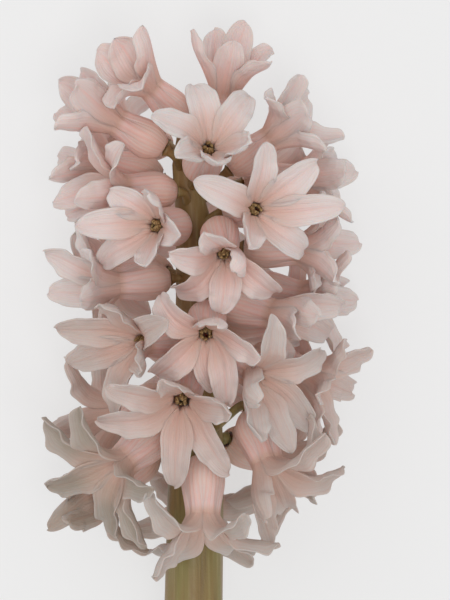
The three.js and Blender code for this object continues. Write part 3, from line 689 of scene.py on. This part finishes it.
def wrap(bm, rings, sides, ridges=0):
    """A closed rod through rings, each (centre, direction, radius)."""
    across = Vector((0, 0, 1))
    frames = []
    for at, along, radius in rings:
        across = (across - along * across.dot(along)).normalized()
        frames.append((at, across, along.cross(across), radius))
    ends = [(*frames[0][:3], 0), *frames, (*frames[-1][:3], 0)]
    sheet = bmesh.ops.create_grid(bm, x_segments=sides, y_segments=len(ends) - 1, size=1, calc_uvs=True)
    for vert in sheet["verts"]:
        turn = math.pi * vert.co.x
        at, across, side, radius = ends[round((vert.co.y + 1) / 2 * (len(ends) - 1))]
        radius *= 1 + ridges * math.sin(5 * turn + at.y * 0.05) + 0.6 * ridges * math.sin(11 * turn + 2)
        vert.co = (at + across * radius * math.cos(turn) + side * radius * math.sin(turn) + ORIGIN) * MM
    return sheet["verts"]


def scape_rings():
    """The scape's rings from its cut end to its top, narrower at either end."""
    bottom, top = SCAPE[0][0][1], SCAPE[-1][0][1]
    steps = round((top - bottom) / RING_STEP)
    rings = []
    for i in range(steps + 1):
        height = lerp(bottom, top, i / steps)
        at, radius = scape_at(height)
        rings.append((at, Vector((0, 1, 0)), radius))
    (low, up, wide), (high, _, narrow) = rings[0], rings[-1]
    cut = [(low, up, wide * CUT_SHARE), (low + up * CUT_EDGE, up, wide)]
    return cut + rings[1:] + [(high + up * TOP_HEIGHT, up, narrow * TOP_SHARE)]


def bezier(points, t):
    """The place at t on a curve with four guiding points."""
    a, b, c, d = points
    u = 1 - t
    return a * u**3 + b * 3 * u * u * t + c * 3 * u * t * t + d * t**3


PEDICEL_STEPS = 10
PEDICEL_DROP = 0.35  # how much lower a pedicel begins for each millimetre from the axis to its foot
PEDICEL_FLARE = 0.35  # share of its radius that it gains where it leaves the scape


def pedicel_rings(floret):
    """A pedicel from the scape into its floret's axis, with the receptacle, ovary and style."""
    foot, along, size = floret.foot, floret.along, floret.size
    root = scape_at(foot.y - 1 - PEDICEL_DROP * math.hypot(foot.x, foot.z))[0]
    straight = (foot - root).length
    handle = foot - along * min(4, 0.4 * straight)
    points = (root, root.lerp(foot, 0.45), handle, foot - along * 1.6)
    rings = []
    for i in range(PEDICEL_STEPS + 1):
        t = i / PEDICEL_STEPS
        ahead = bezier(points, min(1, t + 0.02)) - bezier(points, max(0, t - 0.02))
        radius = PEDICEL_RADIUS * (1 + PEDICEL_FLARE * (1 - t) ** 3)
        rings.append((bezier(points, t), ahead.normalized(), radius))
    # How far along the floret's axis from its foot each ring stands, and its radius.
    inside = [
        (-0.9, 1.25 * PEDICEL_RADIUS),
        (-SEAT_GAP - 0.05, RECEPTACLE_RADIUS),
        (-SEAT_GAP + 0.1, NECK_RADIUS),
        (0.9 * size, NECK_RADIUS),
        (1.4 * size, 0.9 * OVARY_RADIUS),
        (2.4 * size, OVARY_RADIUS),
        (3.4 * size, 0.8 * OVARY_RADIUS),
        (4.4 * size, STYLE_RADIUS),
        (7.0 * size, STYLE_RADIUS),
        (7.4 * size, 0.7 * STYLE_RADIUS),
    ]
    return rings + [(foot + along * d, along, radius) for d, radius in inside]


def fine_stem(florets, material):
    """The scape and every pedicel with its ovary and style, as one piece."""
    bm = bmesh.new()
    bm.loops.layers.uv.new("round")
    within = bm.verts.layers.float.new("within")
    wrap(bm, scape_rings(), SCAPE_SIDES, RIDGE)
    for floret in florets:
        for vert in wrap(bm, pedicel_rings(floret), PEDICEL_SIDES):
            depth = (vert.co / MM - ORIGIN - floret.foot).dot(floret.along)
            vert[within] = clamp(depth + 0.2, 0, 1)
    bmesh.ops.remove_doubles(bm, verts=bm.verts, dist=0.01 * MM)
    new_piece("stem_fine", bm, material, ["stem"])


# The anthers, six round each throat.
ANTHER_LENGTH = 2.5
ANTHER_RADIUS = 0.42
ANTHER_RING = (0.7, 1.02)  # the least and the most that one stands from the tube's axis
ANTHER_AT = (0.83, 0.95)  # and that it stands up the tube, as shares of its length
ANTHER_LEAN = 0.5  # how far one leans aside, half to either side, for each step along the tube
ANTHER_INWARD = 0.25  # and how far it leans inward
ANTHER_DRIFT = 0.35  # radians, half to either side of its tepal's rib, in which one stands
ANTHER_WAIST = 0.25  # share of its thickness that its furrow takes
ANTHER_BREADTH = 1.15


def anthers(florets, material):
    """Every floret's anthers, as one piece: ovals with a furrow between their two halves."""
    bm = bmesh.new()
    for floret in florets:
        for k in range(LOBES):
            made = bmesh.ops.create_uvsphere(bm, u_segments=10, v_segments=8, radius=1)
            key = floret.index * LOBES + k
            turn = floret.rib_turn(k) + ANTHER_DRIFT * (draw(key) - 0.5)
            out, cross = floret.outward(turn), floret.outward(turn + math.pi / 2)
            ring = lerp(*ANTHER_RING, draw(key + 0.25)) * floret.size
            middle = floret.foot.lerp(floret.mouth, lerp(*ANTHER_AT, draw(key + 0.5))) + out * ring
            sideways = cross * ANTHER_LEAN * (draw(key + 0.75) - 0.5)
            lean = (floret.along - out * ANTHER_INWARD + sideways).normalized()
            for vert in made["verts"]:
                x, y, z = vert.co
                waist = 1 - ANTHER_WAIST * math.exp(-((y / 0.3) ** 2))
                flat = out * x * ANTHER_RADIUS * waist + cross * y * ANTHER_RADIUS * ANTHER_BREADTH
                vert.co = (middle + flat + lean * z * ANTHER_LENGTH / 2 + ORIGIN) * MM
    new_piece("anthers", bm, material, [])


class Value:
    """A shader socket that plain arithmetic works on."""

    def __init__(self, nodes, socket):
        self.nodes = nodes
        self.socket = socket

    def sum(self, operation, *others):
        return self.nodes.add("ShaderNodeMath", {"operation": operation}, self, *others)

    def __add__(self, other):
        return self.sum("ADD", other)

    __radd__ = __add__

    def __sub__(self, other):
        return self.sum("SUBTRACT", other)

    def __rsub__(self, other):
        return self * -1 + other

    def __mul__(self, other):
        return self.sum("MULTIPLY", other)

    __rmul__ = __mul__

    def __truediv__(self, other):
        return self.sum("DIVIDE", other)

    def __abs__(self):
        return self.sum("ABSOLUTE")

    def wave(self):
        return self.sum("SINE")

    def other_output(self, index):
        return Value(self.nodes, self.socket.node.outputs[index])

    def held(self):
        """Held between 0 and 1."""
        return self.nodes.add("ShaderNodeClamp", {}, self)

    def band(self, low, high):
        """0 at low, 1 at high and an even curve between."""
        settings = {"interpolation_type": "SMOOTHSTEP"}
        return self.nodes.add("ShaderNodeMapRange", settings, self, low, high, 0, 1)


class Nodes:
    """A material's node tree. add() makes a node of a type from its settings and its inputs in order."""

    def __init__(self, name):
        self.material = bpy.data.materials.new(name)
        self.material.use_nodes = True
        self.tree = self.material.node_tree
        self.shader = self.tree.nodes["Principled BSDF"]

    def add(self, kind, settings, *inputs, output=0, **named):
        node = self.tree.nodes.new(kind)
        for key, value in settings.items():
            setattr(node, key, value)
        usable = [socket for socket in node.inputs if socket.enabled]
        for socket, value in zip(usable, inputs):
            self.feed(socket, value)
        for name, value in named.items():
            self.feed(node.inputs[name.replace("_", " ")], value)
        outputs = [socket for socket in node.outputs if socket.enabled]
        return Value(self, outputs[output])

    def feed(self, socket, value):
        if isinstance(value, Value):
            self.tree.links.new(value.socket, socket)
        elif value is not None:
            socket.default_value = value

    def mix(self, amount, a, b):
        return self.add("ShaderNodeMix", {"data_type": "RGBA"}, amount, a, b)

    def places(self):
        """Object coordinates, in metres."""
        return self.add("ShaderNodeTexCoord", {}, output=3)

    def stretched(self, places, scale):
        return self.add("ShaderNodeMapping", {}, places, None, None, scale)

    def noise(self, places, scale, detail=3):
        return self.add("ShaderNodeTexNoise", {}, places, Scale=scale, Detail=detail)

    def attribute(self, name):
        return self.add("ShaderNodeAttribute", {"attribute_name": name}, output=2)

    def finish(self, **sockets):
        for name, value in sockets.items():
            self.feed(self.shader.inputs[name.replace("_", " ")], value)
        return self.material

    def bump(self, height, distance, strength):
        bump = self.add("ShaderNodeBump", {}, Height=height, Distance=distance, Strength=strength)
        self.feed(self.shader.inputs["Normal"], bump)


def colour(red, green, blue):
    """A colour from linear shares of red, green and blue."""
    return (red, green, blue, 1)


PINK = colour(0.82, 0.565, 0.525)
DEEP_PINK = colour(0.84, 0.48, 0.41)
PALE = colour(0.78, 0.675, 0.645)
WHITISH = colour(0.775, 0.735, 0.72)
AGED = colour(0.37, 0.33, 0.27)
AGED_MARGIN = colour(0.45, 0.425, 0.385)
OLD_VEIN = colour(0.27, 0.20, 0.15)
# Warm peach at the tubes' feet: partly their own colour, partly painted shade.
PEACH_SHADE = colour(0.84, 0.58, 0.45)
# Pink-brown round the throat: painted shade in the funnel, partly the throat's own deeper colour.
THROAT_SHADE = colour(0.66, 0.43, 0.34)
# Grey on the thin margins: painted shade for light seen through them.
RIM_SHADE_GREY = colour(0.55, 0.50, 0.47)


def petal_material():
    """Pink, paler to the margins and the tip, with veins, a blush and the grey of age, and painted shade at
    the tube's foot, round the throat and along the margins.
    """
    n = Nodes("hyacinth_petal")
    uv = n.add("ShaderNodeUVMap", {"uv_map": "tepal"})
    u = n.add("ShaderNodeSeparateXYZ", {}, uv)
    v = u.other_output(1)
    places = n.places()
    fade = n.attribute("fade")
    shade = n.attribute("shade")
    rib = abs(u * 2 - 1)
    lobe = ((v - MOUTH_AT) / (1 - MOUTH_AT)).held()
    drift = n.noise(places, 260)
    blotch = n.noise(places, 90)

    # Along the lobes: pink from the mouth on, pale to the margins and the tip.
    margin = (rib + (drift - 0.5) * 0.5).band(0.3, 1.0)
    toward_tip = (lobe + (blotch - 0.5) * 0.5).band(0.0, 0.8)
    pinkness = ((1 - margin * 0.75) * (1 - toward_tip * 0.85) * (0.3 + shade * 0.7)).held()
    body = n.mix(pinkness, PALE, PINK)
    whiteness = (margin * 0.45 + toward_tip * 0.5) * (1.2 - shade * 0.5)
    body = n.mix(whiteness.held(), body, WHITISH)
    old = n.mix(margin * 0.8, AGED, AGED_MARGIN)
    faded = (fade * lobe.band(0.0, 0.25) + (blotch - 0.5) * 0.5 * fade).held()
    body = n.mix(faded, body, old)

    # The tube's blush.
    tube = 1 - v.band(MOUTH_AT * 0.35, MOUTH_AT * 1.9)
    body = n.mix((tube * (0.05 + blotch * 0.4) + shade * 0.12).held(), body, DEEP_PINK)

    # Fine veins along the tepal, broader streaks over the tube and a strong vein in the middle.
    strands = ((u + (drift - 0.5) * 0.03) * 82).wave() * 0.5 + 0.5
    broad = ((u + (drift - 0.5) * 0.08) * 31 + blotch * 5).wave() * 0.5 + 0.5
    veins = strands.band(0.45, 1) * (0.13 + fade * 0.1) + broad.band(0.4, 1) * (0.06 + tube * 0.22)
    middle = (1 - rib.band(0.0, 0.16)) * lobe.band(0.02, 0.25) * (1 - lobe.band(0.7, 1.0))
    body = n.mix(tube * (1 - broad.band(0, 0.6)) * (0.1 + drift * 0.35), body, WHITISH)
    vein_colour = n.mix(faded * 0.8, DEEP_PINK, OLD_VEIN)
    body = n.mix((veins + middle * (0.18 + shade * 0.25)).held(), body, vein_colour)

    # Peach at the tube's foot: partly its own warm colour, partly painted warm shade deep in the spike.
    foot = 1 - v.band(0, MOUTH_AT * 0.9)
    body = n.mix((foot * (drift * 1.4 - 0.1)).held() * 0.7, body, PEACH_SHADE)
    # Painted shade in the funnel: pink-brown round the inside of the mouth and the lobes' bases, partly the
    # throat's own deeper colour.
    throat_shade = v.band(MOUTH_AT * 0.8, MOUTH_AT) * (1 - v.band(MOUTH_AT * 0.95, MOUTH_AT * 1.85))
    body = n.mix((throat_shade * (0.5 + drift * 0.6)).held(), body, THROAT_SHADE)

    # Painted shade: a grey band along the thin margins, for the darker look that light passing through them
    # gives.
    rim = rib.band(0.9, 1.0) * lobe.band(0.1, 0.4)
    body = n.mix(rim * 0.45, body, RIM_SHADE_GREY)

    grain = n.noise(places, 2600, 2)
    n.bump(strands * 0.3 + broad * 0.6 + grain * 0.5 + drift * 0.5, 0.16 * MM, 0.6)
    return n.finish(
        Base_Color=body,
        Roughness=0.5 + (drift - 0.5) * 0.12 + margin * 0.05,
        Subsurface_Weight=0.3,
        Subsurface_Radius=(1.0, 0.6, 0.45),
        Subsurface_Scale=1.0 * MM,
        Specular_IOR_Level=0.3,
    )


STEM_OLIVE = colour(0.255, 0.215, 0.07)
STEM_BROWN = colour(0.26, 0.15, 0.052)
STEM_DARK = colour(0.15, 0.095, 0.033)
STEM_PALE = colour(0.40, 0.33, 0.15)
BROWN_FROM = (0.0, 0.045)  # metres up the part, where the scape turns from olive to brown
OVARY = colour(0.42, 0.40, 0.20)


def stem_material():
    """Olive to brown with long streaks, and paler on what stands inside a tube."""
    n = Nodes("hyacinth_stem")
    places = n.places()
    streaks = n.noise(n.stretched(places, (1, 0.045, 1)), 900, 4)
    broad = n.noise(n.stretched(places, (1, 0.12, 1)), 240, 3)
    grain = n.noise(places, 2200, 2)
    height = n.add("ShaderNodeSeparateXYZ", {}, places).other_output(1)
    brown = (broad.band(0.38, 0.62) * 0.8 + height.band(*BROWN_FROM) * 0.7).held()
    body = n.mix(brown, STEM_OLIVE, STEM_BROWN)
    body = n.mix(streaks.band(0.5, 0.75) * 0.55, body, STEM_PALE)
    body = n.mix((1 - streaks.band(0.32, 0.48)) * 0.5, body, STEM_DARK)
    body = n.mix(n.attribute("within") * 0.8, body, OVARY)
    n.bump(streaks + grain * 0.4, 0.25 * MM, 0.6)
    return n.finish(
        Base_Color=body,
        Roughness=0.48 + (grain - 0.5) * 0.25,
        Subsurface_Weight=0.08,
        Subsurface_Radius=(0.6, 0.8, 0.3),
        Subsurface_Scale=0.8 * MM,
    )


ANTHER_DARK = colour(0.22, 0.135, 0.055)
ANTHER_RIM = colour(0.60, 0.44, 0.19)


def anther_material():
    """Dark brown with tan patches."""
    n = Nodes("hyacinth_anther")
    grain = n.noise(n.places(), 3200, 3)
    body = n.mix(grain.band(0.45, 0.68), ANTHER_DARK, ANTHER_RIM)
    n.bump(grain, 0.1 * MM, 0.8)
    return n.finish(Base_Color=body, Roughness=0.75 + (grain - 0.5) * 0.2)


# The surface, the light and the camera.
FLOOR_SIDE = 6  # metres
FLOOR_COLOUR = (0.3, 0.3, 0.3, 1)
FLOOR_GLOW = 0.58  # the pale backdrop is lit from behind, so nearly no shadow falls on it
TOP_LIGHT = ((-0.5, 0.7, 1.6), 1.2, 4.7)  # place and side in metres, and power in watts
FRONT_LIGHT = ((0.15, -0.25, 1.7), 0.6, 7.1)
ROOM_LIGHT = 0.56


def floor():
    """A wide pale surface that glows a little."""
    bm = bmesh.new()
    bmesh.ops.create_grid(bm, x_segments=1, y_segments=1, size=FLOOR_SIDE / 2)
    mesh = bpy.data.meshes.new("floor")
    bm.to_mesh(mesh)
    bm.free()
    piece = bpy.data.objects.new("floor", mesh)
    bpy.context.scene.collection.objects.link(piece)
    n = Nodes("pale_floor")
    mesh.materials.append(n.finish(
        Base_Color=FLOOR_COLOUR,
        Roughness=0.9,
        Specular_IOR_Level=0.1,
        Emission_Color=(1, 1, 1, 1),
        Emission_Strength=FLOOR_GLOW,
    ))


def soft_light(name, place, side, power):
    """A square lamp, turned to the frame's origin."""
    light = bpy.data.lights.new(name, "AREA")
    light.shape = "SQUARE"
    light.size = side
    light.energy = power
    lamp = bpy.data.objects.new(name, light)
    lamp.location = place
    lamp.rotation_euler = (-Vector(place)).to_track_quat("-Z", "Y").to_euler()
    bpy.context.scene.collection.objects.link(lamp)


def studio():
    """The floor, two soft lights and an even white light from all around."""
    floor()
    soft_light("softbox_top", *TOP_LIGHT)
    soft_light("softbox_front", *FRONT_LIGHT)
    world = bpy.data.worlds.new("studio")
    world.use_nodes = True
    background = world.node_tree.nodes["Background"]
    background.inputs["Color"].default_value = (1, 1, 1, 1)
    background.inputs["Strength"].default_value = ROOM_LIGHT
    bpy.context.scene.world = world
    bpy.context.scene.view_settings.view_transform = "Standard"


SENSOR = 36  # millimetres
NEAREST_SEEN = 0.01  # metres


def camera():
    """The photograph's camera, straight above the middle of its picture."""
    data = bpy.data.cameras.new("camera")
    data.sensor_width = SENSOR
    data.lens = SENSOR * VIEW_DISTANCE / (PHOTO_HEIGHT * MM_PER_PIXEL)
    data.clip_start = NEAREST_SEEN
    eye = bpy.data.objects.new("camera", data)
    eye.location = (ORIGIN + Vector((CENTRE_X, 0, VIEW_DISTANCE))) * MM
    bpy.context.scene.collection.objects.link(eye)
    bpy.context.scene.camera = eye


camera()
studio()
florets = grown_florets()
petal = petal_material()
for floret in florets:
    fine_floret(floret, petal)
fine_stem(florets, stem_material())
anthers(florets, anther_material())
